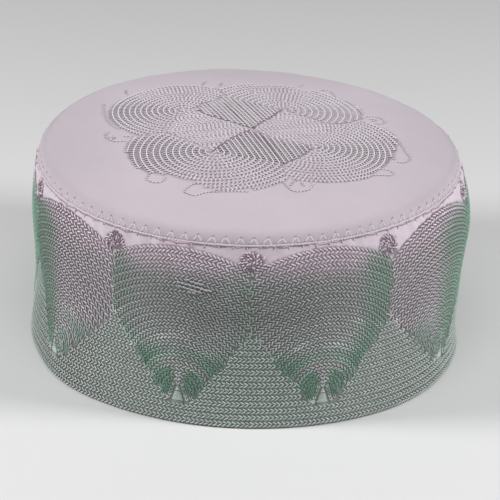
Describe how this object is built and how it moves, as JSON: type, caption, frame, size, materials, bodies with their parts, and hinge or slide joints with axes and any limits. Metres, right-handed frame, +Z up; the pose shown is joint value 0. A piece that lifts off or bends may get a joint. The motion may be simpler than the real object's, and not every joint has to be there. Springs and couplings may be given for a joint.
{
  "type": "kufi cap",
  "caption": "Round flat-topped cloth cap with a domed crown tip and an upright embroidered side band, standing on its rim.",
  "frame": {"origin": "centre of the bounding box in plan, on the plane that the rim rests on", "axes": "+Z up through the crown, -Y towards the front of the picture, +X to its right"},
  "size_m": [0.1944, 0.1938, 0.0965],
  "materials": {
    "crown_cloth": "plain pale lilac-white woven cotton, matt, with raised chain stitch in white thread",
    "band_cloth": "pale grey-green cloth covered with dense rows of white chain stitch, softly lustrous thread"
  },
  "bodies": {
    "root": {"crown_tip": "crown_cloth", "side_band": "band_cloth"}
  },
  "joints": []
}
